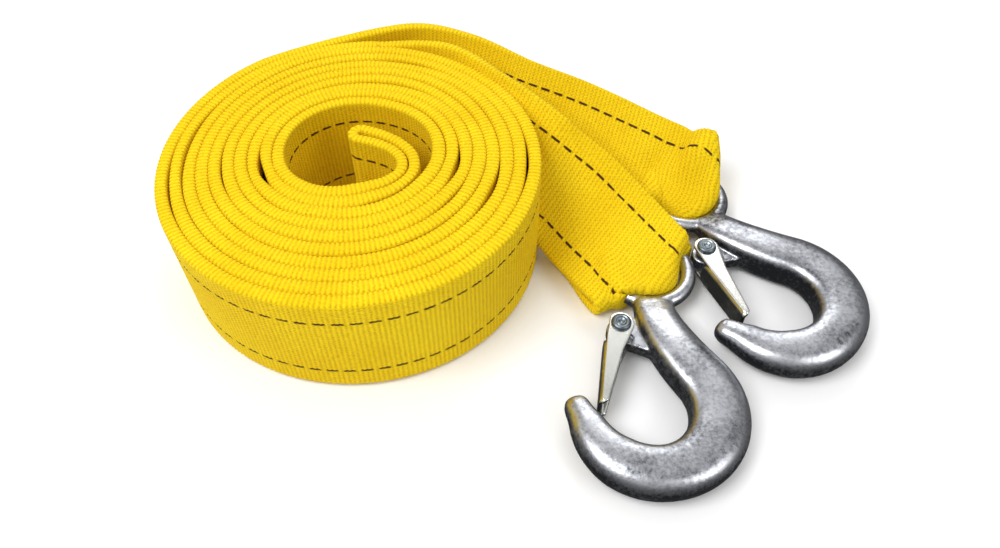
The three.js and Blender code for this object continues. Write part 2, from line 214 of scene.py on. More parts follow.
def webbing_material():
    """Yellow woven webbing. The UV map holds metres along (U) and across (V) the strap."""
    n = Nodes("webbing")
    split = n.node("ShaderNodeSeparateXYZ", {0: n.node("ShaderNodeUVMap", uv_map="weave").outputs[0]})
    along, across = split.outputs[0], split.outputs[1]
    place = n.node("ShaderNodeTexCoord").outputs["Object"]

    # Marker threads: dashes along two lines, set in from the edges
    from_middle = (WEB_WIDTH / 2 - THREAD_INSET) * MM
    line = n.math("ABSOLUTE", n.math("SUBTRACT", n.math("ABSOLUTE", across), from_middle))
    wobble = n.math("MULTIPLY", n.math("SUBTRACT", n.noise(place, 300.0), 0.5), 0.5 * MM)
    on_line = n.ramp(n.math("ADD", line, wobble), 1.0, 0.0, 0.35 * THREAD_WIDE * MM, 0.62 * THREAD_WIDE * MM)
    phase = n.math("FRACT", n.math("DIVIDE", along, THREAD_PERIOD * MM))
    half_dash = 0.5 * THREAD_DASH / THREAD_PERIOD
    off_dash = n.math("ABSOLUTE", n.math("SUBTRACT", phase, 0.5))
    on_dash = n.ramp(off_dash, 1.0, 0.0, half_dash - 0.07, half_dash + 0.03)
    dash = n.math("MULTIPLY", n.math("MULTIPLY", on_line, on_dash), n.attribute("marked"))

    # Weave: ribs across the strap, broken by the yarns that run along it
    turn = 2 * math.pi
    ribs = n.math("SINE", n.math("MULTIPLY", along, turn / (RIB_PITCH * MM)))
    yarns = n.math("SINE", n.math("MULTIPLY", across, turn / (YARN_PITCH * MM)))
    weave = n.math("MULTIPLY", ribs, yarns)
    fuzz = n.noise(place, 1100.0, 3.0, 0.6)
    blotch = n.noise(place, 38.0, 3.0, 0.55)
    height = n.math("ADD", n.math("MULTIPLY", weave, 0.5), n.math("MULTIPLY", fuzz, 1.1))
    height = n.math("ADD", height, n.math("MULTIPLY", dash, 0.9))
    base = n.mix(n.ramp(blotch, 0.0, 1.0, 0.3, 0.7), srgb(244, 206, 6), srgb(252, 220, 20))
    rough = n.math("MULTIPLY", n.math("SUBTRACT", fuzz, 0.5), 2.2)
    grain = n.math("ADD", n.math("MULTIPLY", weave, 0.4), rough)
    grain = n.math("ADD", grain, n.math("MULTIPLY", ribs, 0.4))
    # Painted shade in the troughs of the ribs and the weave, mixed with random fuzz: the colour darkens
    # where the grain is low
    base = n.mix(n.ramp(grain, 0.7, 0.0, -1.0, 0.4), base, srgb(178, 128, 0))
    thread = n.mix(n.noise(place, 900.0), srgb(46, 26, 4), srgb(92, 56, 8))
    n.set(n.shader, "Base Color", n.mix(dash, base, thread))
    n.set(n.shader, "Roughness", 0.85)
    n.set(n.shader, "Sheen Weight", 0.12)
    n.set(n.shader, "Sheen Roughness", 0.5)
    n.set(n.shader, "Sheen Tint", srgb(255, 220, 60))
    n.set(n.shader, "Specular IOR Level", 0.2)
    n.set(n.shader, "Normal", n.bump(height, 0.6, 0.3 * MM))
    return n.material


def zinc_material(name, light, dark, roughness, grain_scale, grain_depth, speckle=0.0):
    """Zinc plating over steel, with painted reflection and shade: the vertex attribute is low where the
    painted shade makes it dark, and there the surface is a little rougher.
    """
    n = Nodes(name)
    place = n.node("ShaderNodeTexCoord").outputs["Object"]
    grain = n.noise(place, grain_scale, 4.0, 0.65)
    cloud = n.noise(place, 48.0, 4.0, 0.6)
    # Painted reflection and shade from the vertex attribute, with random cloud mottle and speckle added to
    # it
    painted_light = n.math("ADD", n.attribute("painted_light"), n.ramp(cloud, -0.36, 0.24, 0.32, 0.68))
    spots = n.math("MULTIPLY", n.math("SUBTRACT", n.noise(place, 620.0, 3.0, 0.7), 0.5), speckle)
    painted_light = n.math("ADD", painted_light, spots)
    n.set(n.shader, "Base Color", n.mix(n.ramp(painted_light, 0.0, 1.0, 0.1, 0.9), dark, light))
    n.set(n.shader, "Metallic", 1.0)
    n.set(n.shader, "Roughness", n.ramp(painted_light, roughness + 0.12, roughness, 0.1, 0.9))
    n.set(n.shader, "Normal", n.bump(grain, 0.5, grain_depth))
    return n.material


WEBBING = webbing_material()
FORGED = zinc_material("forged_zinc", srgb(208, 210, 216), srgb(84, 86, 92), 0.3, 1000.0, 0.16 * MM, 1.5)
STAMPED = zinc_material("stamped_zinc", srgb(238, 238, 232), srgb(96, 98, 90), 0.24, 900.0, 0.04 * MM, 0.2)
RIVET = zinc_material("rivet_zinc", srgb(198, 208, 214), srgb(58, 70, 80), 0.28, 1200.0, 0.05 * MM, 0.3)
WIRE = zinc_material("spring_wire", srgb(170, 172, 178), srgb(70, 72, 78), 0.3, 1200.0, 0.02 * MM)


# Meshes

def new_object(name, verts, faces, material):
    mesh = bpy.data.meshes.new(name)
    mesh.from_pydata([tuple(v) for v in verts], [], faces)
    mesh.materials.append(material)
    mesh.shade_smooth()
    mesh.update()
    return add(bpy.data.objects.new(name, mesh))


def closed_faces(rows, columns):
    """Quads between rows of closed rings, and a face over each end."""
    i, j = np.meshgrid(np.arange(rows - 1), np.arange(columns), indexing="ij")
    k = (j + 1) % columns
    near, far = i * columns, (i + 1) * columns
    quads = np.stack([near + j, near + k, far + k, far + j], axis=-1)
    ends = [list(range(columns))[::-1], [(rows - 1) * columns + j for j in range(columns)]]
    return quads.reshape(-1, 4).tolist() + ends


def ring_solid(name, rings, material):
    """A closed skin over rings of points (rows, columns, 3), in the plan's millimetres."""
    return new_object(name, rings.reshape(-1, 3) * MM, closed_faces(*rings.shape[:2]), material)


# How the section runs round a selvedge: [outwards, share of half the thickness]
CAP = np.array([[0.55, 0.97], [0.94, 0.72], [1.0, 0.0], [0.94, -0.72], [0.55, -0.97]])


def webbing_solid(name, middle, across, run, thick, marked):
    """Webbing from its middle surface.

    middle: (rows, columns, 3); across: each column's place across the strap; run: millimetres along,
    per point; thick: one value or one per row; marked: 1 for the rows whose marker threads show, else 0.
    """
    along = unit(np.gradient(middle, axis=0))
    sideways = unit(np.gradient(middle, axis=1))
    normal = unit(np.cross(sideways, along))
    wave = np.sin(2 * np.pi * run / RIB_PITCH)
    half = (np.broadcast_to(thick, len(middle))[:, None] / 2 + RIB_HEIGHT * wave)[..., None]
    top = middle + half * normal
    low = middle - half * normal
    right, left = [], []
    for out, share in CAP:
        step = out * SELVEDGE + BEAD * wave[:, [0, -1], None] * out
        right.append(middle[:, -1] + step[:, 1] * sideways[:, -1] + share * half[:, -1] * normal[:, -1])
        left.append(middle[:, 0] - step[:, 0] * sideways[:, 0] - share * half[:, 0] * normal[:, 0])
    rings = np.concatenate([top, np.stack(right, 1), low[:, ::-1], np.stack(left, 1)], axis=1)
    obj = ring_solid(name, rings + ROLL_PLACE, WEBBING)
    edge = across[-1] + CAP[:, 0] * SELVEDGE
    v = np.concatenate([across, edge, across[::-1], -edge])
    right_run, left_run = [np.repeat(run[:, k:][:, :1], len(CAP), 1) for k in (-1, 0)]
    u = np.concatenate([run, right_run, run[:, ::-1], left_run], 1)
    index = np.zeros(len(obj.data.loops), int)
    obj.data.loops.foreach_get("vertex_index", index)
    uvs = np.stack([u.reshape(-1)[index], np.tile(v, len(run))[index]], axis=1) * MM
    obj.data.uv_layers.new(name="weave").data.foreach_set("uv", uvs.ravel())
    shown = np.repeat(np.asarray(marked, np.float32), rings.shape[1])
    obj.data.attributes.new("marked", "FLOAT", "POINT").data.foreach_set("value", shown)
    sharpen_ends(obj, rings.shape[0], rings.shape[1])
    return obj


def sharpen_ends(obj, rows, columns):
    """Keeps the shading of the two end faces off the sides."""
    ends = set(range(columns)) | set(range((rows - 1) * columns, rows * columns))
    sharp = [e.vertices[0] in ends and e.vertices[1] in ends for e in obj.data.edges]
    data = obj.data.attributes.new("sharp_edge", "BOOLEAN", "EDGE")
    data.data.foreach_set("value", sharp)


# The strap's route

SPAN_ROWS = 48


def centripetal(knots, per_span=SPAN_ROWS):
    """Catmull-Rom curve through the knots' rows, centripetal in their first three values."""
    knots = np.asarray(knots, float)
    ends = [2 * knots[0] - knots[1], *knots, 2 * knots[-1] - knots[-2]]
    rows = []
    for p0, p1, p2, p3 in zip(ends, ends[1:], ends[2:], ends[3:]):
        times = [0.0]
        for a, b in ((p0, p1), (p1, p2), (p2, p3)):
            times.append(times[-1] + max(np.linalg.norm((b - a)[:3]), 1e-6) ** 0.5)
        t0, t1, t2, t3 = times
        t = np.linspace(t1, t2, per_span, endpoint=False)[:, None]
        a1 = (t1 - t) / (t1 - t0) * p0 + (t - t0) / (t1 - t0) * p1
        a2 = (t2 - t) / (t2 - t1) * p1 + (t - t1) / (t2 - t1) * p2
        a3 = (t3 - t) / (t3 - t2) * p2 + (t - t2) / (t3 - t2) * p3
        b1 = (t2 - t) / (t2 - t0) * a1 + (t - t0) / (t2 - t0) * a2
        b2 = (t3 - t) / (t3 - t1) * a2 + (t - t1) / (t3 - t1) * a3
        rows.append((t2 - t) / (t2 - t1) * b1 + (t - t1) / (t2 - t1) * b2)
    return np.concatenate([*rows, knots[-1:]])


def lengths_of(rows):
    return np.concatenate([[0.0], np.cumsum(np.linalg.norm(np.diff(rows[:, :3], axis=0), axis=1))])


def resample(rows, step):
    lengths = lengths_of(rows)
    wanted = np.linspace(0.0, lengths[-1], int(round(lengths[-1] / step)) + 1)
    return np.stack([np.interp(wanted, lengths, rows[:, k]) for k in range(rows.shape[1])], axis=1)


def wound_layer(first_depth, turns):
    """Rows of x, y, z, lean, thickness for a layer whose depth grows by two each turn."""
    angle = np.pi / 2 + 2 * np.pi * turns
    depth = first_depth + 2 * turns
    pitch = (ROLL_RADIUS - bore_at(angle)) / LAYERS
    radius = bore_at(angle) + (LAYERS - depth) * pitch
    thick = pitch - PRESSED
    whole = np.floor(turns)
    for direction, boundary, spread, width in GAPS:
        away = (np.degrees(angle) - direction + 180) % 360 - 180
        opening = width * np.exp(-(away / spread) ** 2)
        side = first_depth + 2 * whole - boundary
        inside = np.abs(side - 0.5) < 0.1
        outside = np.abs(side + 0.5) < 0.1
        thick = thick - opening / 2 * (inside | outside)
        radius = radius + opening / 4 * (outside.astype(float) - inside)
    run = radius * angle
    uneven = sum(high * np.sin(run / long + (k + 1) * first_depth) for k, (high, long) in enumerate(SWELLS))
    level_ends = smooth(turns, 0.12, 0.4) * (1 - smooth(turns, PAIR_TURNS - 0.35, PAIR_TURNS - 0.02))
    height = UPRIGHT + uneven * level_ends
    lean = np.full_like(angle, 90.0)
    return np.stack([radius * np.cos(angle), radius * np.sin(angle), height, lean, thick], axis=1)


# Inside the bore: [direction in degrees, how far the middle of the pair lies from the roll's axis]
FOLD_ROUTE = [(-48, 20.4), (-22, 21.2), (0, 19.3), (26, 15.6), (60, 13), (92, 13.8)]
FOLD_SPREAD = 3.1
FOLD_PRESSED = 2.4


def fold_rows():
    """The pair of layers inside the bore and the fold that joins them."""
    turns = PAIR_TURNS - np.arange(3)[::-1] / STATIONS
    middle = wound_layer(1.0, turns)[:, :3]
    middle[:, 2] = UPRIGHT
    for angle, radius in FOLD_ROUTE:
        a = math.radians(angle)
        middle = np.vstack([middle, [radius * math.cos(a), radius * math.sin(a), UPRIGHT]])
    last = middle[len(turns) - 1]
    middle = resample(centripetal(middle), STEP)
    middle = middle[np.argmin(np.linalg.norm(middle - last, axis=1)) + 2:]
    share = np.linspace(0, 1, len(middle))
    heading = unit(np.gradient(middle, axis=0))
    inward = np.stack([-heading[:, 1], heading[:, 0], 0 * share], axis=1)
    begin = (ROLL_RADIUS - bore_at(-np.pi / 2)) / LAYERS / 2
    pair = [begin, FOLD_PRESSED, FOLD_PRESSED, FOLD_SPREAD]
    spread = np.interp(share, [0.0, 0.35, 0.7, 1.0], pair)[:, None]
    turn = np.pi * (0.5 - np.linspace(0, 1, 16)[1:-1])[:, None]
    bend = middle[-1] + FOLD_SPREAD * (inward[-1] * np.sin(turn) + heading[-1] * np.cos(turn))
    rows = np.concatenate([middle + spread * inward, bend, (middle - spread * inward)[::-1]])
    from_fold = np.abs(np.linspace(-1, 1, len(rows)))
    thick = np.interp(from_fold, [0, 0.7, 1], [WEB_THICK, 4.3, 2 * begin - PRESSED])
    return np.column_stack([rows, np.full(len(rows), 90.0), thick])


# Tails: [ahead of the eye's far wire, to the left of the pull, height, lean in degrees]
FRONT_KNOTS = [
    [-133, -34.4, 25.2, 90], [-108.9, -16.6, 28.7, 79.9], [-79.3, -16.3, 30.5, 60.3], [-44.8, -12, 27, 40.4],
    [-28, -6.6, 20.3, 32], [-13, -4.8, 15.8, 24], [0, -4.5, 14.2, 17], [9, -4.5, 13.6, 13],
]
BACK_KNOTS = [
    [-126.3, -18.5, 25.2, 90], [-100.6, -12.6, 24.8, 73.7], [-71.9, -10.9, 21.6, 58.1],
    [-46.1, -5.1, 18.2, 44.1], [-15.9, -2.2, 16.2, 31.9], [0, 0.2, 14.6, 28], [9, 1.0, 14.6, 26],
]


class Loop:
    """Places in an eye's own frame: ahead of the far wire, to the left, up."""

    def __init__(self, wire, pull):
        self.wire = wire - ROLL_PLACE
        self.wire[2] = 0.0
        self.pull = pull
        self.left = np.array([-pull[1], pull[0], 0.0])

    def out(self, points):
        points = np.asarray(points, float)
        return self.wire + points[..., :1] * self.pull + points[..., 1:2] * self.left + points[..., 2:3] * UP

    def into(self, points):
        away = points - self.wire
        return np.stack([away @ self.pull, away @ self.left, points[..., 2]], axis=-1)


FRONT_LOOP = Loop(JOINTS["front_hook_swing"].copy(), FRONT_PULL)
BACK_LOOP = Loop(JOINTS["back_hook_swing"].copy(), BACK_PULL)


def tail_rows(loop, first_depth, stations, knots):
    """A tail's top run, from the roll to just past the eye's far wire."""
    begin = wound_layer(first_depth, np.array(stations) / STATIONS)
    begin[:, 2] = UPRIGHT
    rows = list(begin[:, :4])
    for knot in knots:
        rows.append(np.append(loop.out(knot[:3]), knot[3]))
    # Its thickness eases from the pressed turns' to its own over two spans
    curve = centripetal(rows)[SPAN_ROWS:]
    thick = np.interp(np.arange(len(curve)), [0, 2 * SPAN_ROWS], [begin[-1, 4], WEB_THICK])
    return resample(np.column_stack([curve, thick]), STEP)


FRONT_TAIL = tail_rows(FRONT_LOOP, 1.5, (2, 0), FRONT_KNOTS)
BACK_TAIL = tail_rows(BACK_LOOP, 0.5, (4, 3), BACK_KNOTS)
LOOP_BEHIND = 60.0
WOUND_POINTS = 2600


def split_row(loop, rows):
    """The row where the loop's own piece begins."""
    ahead = loop.into(rows[:, :3])[:, 0]
    return int(np.argmin(np.abs(ahead + LOOP_BEHIND)))


def frames_of(rows):
    """Sideways directions of a run's rows, from their headings and leans; positive is the upper edge."""
    heading = unit(np.gradient(rows[:, :3], axis=0))
    level = unit(np.stack([-heading[:, 1], heading[:, 0], np.zeros(len(rows))], axis=1))
    lean = np.radians(rows[:, 3])[:, None]
    return level * np.cos(lean) + UP * np.sin(lean)


def make_strap():
    """The wound length with both tails, up to where the loops begin."""
    front_cut = split_row(FRONT_LOOP, FRONT_TAIL)
    back_cut = split_row(BACK_LOOP, BACK_TAIL)
    inner = wound_layer(1.5, np.linspace(0, PAIR_TURNS, WOUND_POINTS))[1:]
    outer = wound_layer(0.5, np.linspace(3 / STATIONS, PAIR_TURNS, WOUND_POINTS))[1:]
    wound = resample(np.concatenate([inner, fold_rows(), outer[::-1]]), STEP)
    # The front tail is walked towards the roll
    rows = np.concatenate([FRONT_TAIL[:front_cut + 1][::-1], wound, BACK_TAIL[:back_cut + 1]])
    front_side = frames_of(FRONT_TAIL)[:front_cut + 1][::-1]
    side = np.concatenate([front_side, np.tile(UP, (len(wound), 1)), frames_of(BACK_TAIL)[:back_cut + 1]])
    across = np.array([-WEB_FLAT, WALL_INSET - WEB_FLAT, WEB_FLAT - WALL_INSET, WEB_FLAT])
    middle = rows[:, None, :3] + across[None, :, None] * side[:, None, :]
    length = lengths_of(rows)
    run = np.repeat(length[:, None], len(across), axis=1)
    obj = webbing_solid("strap_webbing", middle, across, run, rows[:, 4], np.ones(len(rows)))
    return obj, length[-1]


strap, STRAP_LENGTH = make_strap()

# Loops

# Where the webbing turns down in front: [place across, how far ahead], of its outer face
FRONT_LIP = [
    [-25, 15.5], [-23, 17.6], [-18, 17.2], [-15.5, 19], [-12.5, 23.5], [-8.5, 27.6], [-3.5, 29.3], [2, 29],
    [7, 27.2], [10.5, 25], [14, 22.4], [17, 20.4], [21, 19.2], [23.5, 18], [25, 15.6],
]
BACK_LIP = [
    [-25, 11], [-20, 15], [-16, 20], [-12.5, 25.5], [-8, 29], [-3, 30.4], [3, 30.4], [8, 28.5],
    [12, 25.5], [15, 23], [18, 21.5], [21, 19.5], [23.5, 17.6], [25, 15.2],
]
LOOP_COLUMNS = 33
TOP_ROWS = 34
LIP_ROWS = 30
UNDER_ROWS = 30
LOW_HEIGHT = 2.5
HOLE_REACH = 11.3
LIP_EASE = 1.0
LAP_START = 17.0
LAP_END = 56.0
LAP_GAP = 0.15
LAP_LIFT = 0.2
# [place across, how far before the lip the webbing starts to turn down]
NOSE = [[-25, 3.0], [-16, 3.5], [-11, 5.0], [11, 5.0], [16, 4.0], [25, 3.2]]
# The columns between the two ears are drawn together into the eye
DRAWN_EDGES = [-19.5, -18.5, 12.5, 14]
EAR_EDGES = [-19, 13.2]
DRAWN_NEAREST = 14.0


def lip_rows(tip, reach):
    """Down at the lip, drawn together to pass through the eye."""
    angle = (np.pi / 2 - np.pi * np.linspace(0, 1, LIP_ROWS + 1)[1:])[:, None]
    high = tip[:, 2]
    centre = (high + LOW_HEIGHT) / 2
    half = (high - LOW_HEIGHT) / 2
    spread = tip[:, 1]
    inner = np.interp(spread, DRAWN_EDGES, [DRAWN_EDGES[0], -HOLE_REACH, HOLE_REACH, DRAWN_EDGES[-1]])
    outside = (spread < EAR_EDGES[0]) | (spread > EAR_EDGES[1])
    inner = np.where(outside, spread, inner)
    draw = smooth(-angle, -1.2, 0.35) * (~outside)
    lateral = spread + draw * (inner - spread)
    in_hole = np.clip(inner, -HOLE_REACH, HOLE_REACH)
    hole = EYE_RADIUS + np.sqrt(np.clip(HOLE_REACH ** 2 - in_hole ** 2, 0, None))
    limit = np.where(outside, reach, np.minimum(reach, np.maximum(hole, DRAWN_NEAREST)))
    front = reach + draw * (limit - reach)
    forward = tip[:, 0] + (front - tip[:, 0]) * np.cos(angle)
    return np.stack([forward, lateral + 0 * angle, centre + half * np.sin(angle)], axis=-1)


def under_layer(top, across):
    """The lap's layer, close under the loop's top."""
    normal = unit(np.cross(np.gradient(top, axis=1), np.gradient(top, axis=0)))
    normal *= np.sign(normal[..., 2:3])
    under = top - (WEB_THICK + LAP_GAP) * normal
    # Its lower edge stays on the floor, so the lap is a little narrower there
    rise = WEB_THICK / 2 + LAP_LIFT - under[:, :1, 2]
    up = unit(np.gradient(top, axis=1))
    slide = np.clip(rise / np.maximum(up[:, :1, 2], 0.2), 0.0, 12.0) * (0.5 - across / (2 * WEB_FLAT))
    return under + slide[..., None] * up


def loop_middle(loop, rows, lip, puff):
    """The middle surface of a loop in the eye's frame: over the far wire, down through the eye and back."""
    across = np.linspace(-WEB_FLAT, WEB_FLAT, LOOP_COLUMNS)
    side = frames_of(rows)
    cut = split_row(loop, rows)
    top = loop.into(rows[:, None, :3] + across[None, :, None] * side[:, None, :])[cut:]
    reach = np.interp(across, *np.array(lip).T) - WEB_THICK / 2 + LIP_EASE
    last = top[-1]
    slope = top[-1] - top[-4]
    slope = slope / slope[:, :1]
    top[..., 2] += puff(top[..., 0], across)
    # Straight on to the lip, levelling out
    share = np.linspace(0, 1, TOP_ROWS + 1)[1:, None]
    nose = np.interp(across, *np.array(NOSE).T)
    nose = np.minimum(nose, reach - last[:, 0] - 1.0)
    forward = share * (reach - nose - last[:, 0])
    run = last[:, 0] + forward
    ahead = np.stack([run, last[:, 1] + slope[:, 1] * forward * (1 - 0.5 * share),
                      last[:, 2] + slope[:, 2] * forward * (1 - 0.5 * share) + puff(run, across)], axis=-1)
    lipped = lip_rows(ahead[-1], reach)
    # Under the eye's far wire, opening out again, and up to the lap
    turn = lipped[-1]
    goal = -LAP_START
    share = np.linspace(0, 1, UNDER_ROWS + 1)[1:, None]
    back = turn[:, 0] + share * (goal - turn[:, 0])
    body = top[:, :, 0]
    seat = int(np.argmin(np.abs(body[:, LOOP_COLUMNS // 2] + LAP_START)))
    under = under_layer(top, across)
    width = turn[:, 1] + smooth(share, 0.0, 0.75) * (under[seat][:, 1] - turn[:, 1])
    rise = smooth(share, 0.55, 1.0)
    low = np.stack([back + rise * (under[seat][:, 0] - goal), width,
                    LOW_HEIGHT + rise * (under[seat][:, 2] - LOW_HEIGHT)], axis=-1)
    far = int(np.argmin(np.abs(body[:, LOOP_COLUMNS // 2] + LAP_END)))
    lap = under[far:seat][::-1]
    surface = np.concatenate([top, ahead, lipped, low, lap])
    surface = settle(surface, len(top) - 30, len(surface) - len(lap) - 6)
    marked = np.ones(len(surface))
    marked[len(top) + TOP_ROWS + LIP_ROWS // 4:] = 0.0
    return surface, across, marked


SETTLE_ROUNDS = 9
EVEN_ALONG = 0.35
EVEN_ACROSS = 0.3
WIRE_GAP = 0.1
FLOOR_GAP = 0.15


def settle(surface, first, last):
    """Keeps the webbing clear of the eye's wire and above the floor, and evens it out."""
    need = EYE_WIRE + WEB_THICK / 2 + WIRE_GAP
    part = surface[first:last].copy()
    for _ in range(SETTLE_ROUNDS):
        inner = part[1:-1].copy()
        even = (part[:-2] + part[2:]) / 2
        inner += EVEN_ALONG * (even - inner)
        sides = inner.copy()
        sides[:, 1:-1] += EVEN_ACROSS * ((inner[:, :-2] + inner[:, 2:]) / 2 - inner[:, 1:-1])
        part[1:-1] = sides
        plan = part[..., :2] - [EYE_RADIUS, 0.0]
        far = np.linalg.norm(plan, axis=-1, keepdims=True)
        ring = np.concatenate([plan / np.maximum(far, 1e-6) * EYE_RADIUS + [EYE_RADIUS, 0.0],
                               np.full(far.shape, HOOK_MID)], axis=-1)
        away = part - ring
        gap = np.linalg.norm(away, axis=-1, keepdims=True)
        part = np.where(gap < need, ring + away / np.maximum(gap, 1e-6) * need, part)
        part[..., 2] = np.maximum(part[..., 2], WEB_THICK / 2 + FLOOR_GAP)
    surface = surface.copy()
    surface[first:last] = part
    return surface


def front_puff(ahead, across):
    """How far the front loop's top rises: it lies smooth."""
    return np.zeros_like(ahead)


def back_puff(ahead, across):
    """How far the back loop's top rises: an ear that stands up behind a crease, and a pit."""
    ear = smooth(across, -2, 16)
    pit = np.exp(-((ahead + 3) / 4) ** 2) * np.exp(-((across - 3) / 8) ** 2)
    crease = np.exp(-((ahead - 4.5) / 2.5) ** 2) * smooth(across, 4, 16)
    return 4.0 * ear * np.exp(-((ahead - 13) / 5) ** 2) - 3.0 * pit - 1.2 * crease


def make_loop(name, loop, rows, lip, puff, run_start):
    surface, across, marked = loop_middle(loop, rows, lip, puff)
    steps = np.linalg.norm(np.diff(surface, axis=0), axis=-1)
    run = run_start + np.concatenate([np.zeros((1, len(across))), np.cumsum(steps, axis=0)])
    obj = webbing_solid(name, loop.out(surface), across, run, WEB_THICK, marked)
    return obj, float(np.mean(run[-1] - run[0]))


loop_front, FRONT_RUN = make_loop(
    "webbing_loop_front", FRONT_LOOP, FRONT_TAIL, FRONT_LIP, front_puff, 0.0)
loop_back, BACK_RUN = make_loop(
    "webbing_loop_back", BACK_LOOP, BACK_TAIL, BACK_LIP, back_puff, STRAP_LENGTH)

BLEND_BEHIND = 14.0


def hold_webbing():
    """The strap stays put with its body, and each loop is baked in place where it was built."""
    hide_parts("strap")
    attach(strap, "strap")
    for obj, loop, run, body in ((loop_front, FRONT_LOOP, FRONT_RUN, "front_hook"),
                                 (loop_back, BACK_LOOP, BACK_RUN, "back_hook")):
        start, end = [(loop.out([d, 0.0, HOOK_MID]) + ROLL_PLACE) * MM for d in (-BLEND_BEHIND, 0.0)]
        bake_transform(obj)


hold_webbing()


# Hooks, in the hook's own frame: the eye's centre at the origin, +Z up

BOWL_RADIUS = 24.7
BOWL_CENTRE = np.array([-6.5, -65.0])
BOWL_ENTRY = 35.0
BOWL_TIP = -165.0
TIP_LENGTH = 12.0
TIP_FLARE = 1.3
SHANK_BOW = 26.7
RIVET_PLACE = np.array([-15.0, -29.7])
LUG_THICK = 5.6

# [way along: shank 0 to 1, bowl 1 to 2, tip 2 to 3, half the width, half the thickness]
HOOK_SECTIONS = np.array([
    [0.0, 8.5, 3.4], [0.14, 8.2, 4.6], [0.3, 8.6, 6.2], [0.48, 9.2, 7.2], [0.66, 9.8, 7.8], [0.84, 10.3, 8],
    [1.0, 10.7, 8], [1.1, 11, 8], [1.2, 11.1, 8], [1.3, 10.9, 8], [1.4, 10.4, 8], [1.5, 9.8, 8],
    [1.6, 9.4, 8], [1.7, 9.3, 7.9], [1.8, 9.0, 7.5], [1.9, 7.9, 6.8], [2.0, 6.6, 6.1], [2.4, 5.3, 5.3],
    [2.75, 4.7, 4.7], [2.92, 3.8, 3.8], [3.0, 2.6, 2.6], [3.04, 1.2, 1.2],
])


def hook_line(way):
    """The middle of the forging and its heading."""
    entry = math.radians(BOWL_ENTRY)
    out = BOWL_CENTRE + BOWL_RADIUS * np.array([math.cos(entry), math.sin(entry)])
    if way <= 1:
        start = np.array([0.0, 1 - EYE_RADIUS])
        bow = out + SHANK_BOW * np.array([-math.sin(entry), math.cos(entry)])
        at = (1 - way) ** 2 * start + 2 * way * (1 - way) * bow + way ** 2 * out
        heading = (1 - way) * (bow - start) + way * (out - bow)
    else:
        a = entry + (math.radians(BOWL_TIP) - entry) * min(way - 1, 1)
        heading = np.array([math.sin(a), -math.cos(a)])
        out = np.array([math.cos(a), math.sin(a)])
        flare = TIP_FLARE * float(smooth(way, 1.85, 2.8))
        at = BOWL_CENTRE + (BOWL_RADIUS + flare) * out + heading * TIP_LENGTH * max(way - 2, 0)
    return at, heading / np.linalg.norm(heading)


def forging_rings():
    ways = np.concatenate([np.linspace(0, 1, 60)[:-1], np.linspace(1, 2, 110)[:-1], np.linspace(2, 2.9, 14),
                           np.linspace(2.92, 3.04, 8)])
    angles = np.linspace(0, 2 * np.pi, 56, endpoint=False)
    rings = []
    for way in ways:
        at, heading = hook_line(way)
        wide, thick = [np.interp(way, HOOK_SECTIONS[:, 0], HOOK_SECTIONS[:, k]) for k in (1, 2)]
        inward = np.array([heading[1], -heading[0]])
        c, s = np.cos(angles), np.sin(angles)
        power = np.where(c > 0, 2 / 3.4, 2 / 2.2)
        x = np.sign(c) * np.abs(c) ** power * wide
        z = np.sign(s) * np.abs(s) ** power * thick
        rings.append(np.column_stack([at[0] + x * inward[0], at[1] + x * inward[1], HOOK_MID + z]))
    return np.array(rings)


def torus_rings():
    turn = np.linspace(0, 2 * np.pi, 120)
    angles = np.linspace(0, 2 * np.pi, 32, endpoint=False)
    out = EYE_RADIUS + EYE_WIRE * np.cos(angles)[None]
    return np.stack([out * np.cos(turn)[:, None], out * np.sin(turn)[:, None],
                     HOOK_MID + EYE_WIRE * np.sin(angles)[None] + 0 * turn[:, None]], axis=-1)


def plate_rings(outline, low, high):
    flat = np.asarray(outline, float)
    return np.array([np.column_stack([flat, np.full(len(flat), z)]) for z in (low, high)])


def arc(centre, radius, first, last, count=14):
    a = np.radians(np.linspace(first, last, count))
    return [(centre[0] + radius * math.cos(t), centre[1] + radius * math.sin(t)) for t in a]


def fuse(name, solids, material, voxel, rounds):
    """One skin over several closed solids, its edges eased by rounds of smoothing."""
    bm = bmesh.new()
    for rings in solids:
        made = [bm.verts.new(tuple(p * MM)) for p in rings.reshape(-1, 3)]
        for face in closed_faces(*rings.shape[:2]):
            bm.faces.new([made[i] for i in face])
    bmesh.ops.recalc_face_normals(bm, faces=bm.faces)
    mesh = bpy.data.meshes.new(name)
    bm.to_mesh(mesh)
    bm.free()
    obj = add(bpy.data.objects.new(name, mesh))
    remesh = obj.modifiers.new("skin", "REMESH")
    remesh.mode = "VOXEL"
    remesh.voxel_size = voxel * MM
    ease = obj.modifiers.new("ease", "SMOOTH")
    ease.factor = 0.5
    ease.iterations = rounds
    bpy.context.view_layer.update()
    ready = bpy.data.meshes.new_from_object(obj.evaluated_get(bpy.context.evaluated_depsgraph_get()))
    obj.modifiers.clear()
    obj.data = ready
    ready.materials.clear()
    ready.materials.append(material)
    ready.shade_smooth()
    return obj


def paint(obj, painted_light):
    """Writes the vertex attribute of painted reflection and shade: the given function takes the points and
    normals in millimetres and gives 0 to 1.
    """
    count = len(obj.data.vertices)
    points = np.zeros(3 * count)
    normals = np.zeros(3 * count)
    obj.data.vertices.foreach_get("co", points)
    obj.data.vertices.foreach_get("normal", normals)
    values = painted_light(points.reshape(-1, 3) / MM, normals.reshape(-1, 3))
    obj.data.attributes.new("painted_light", "FLOAT", "POINT").data.foreach_set("value", values.astype(np.float32))


def hook_painted_light(points, normals):
    """Painted reflection and shade: dark on the upright walls, bright on the crown, with a darker painted
    band along it.
    """
    up = np.abs(normals[:, 2])
    return 0.2 + 0.72 * smooth(up, 0.1, 0.75) - 0.34 * np.exp(-((up - 0.94) / 0.06) ** 2)


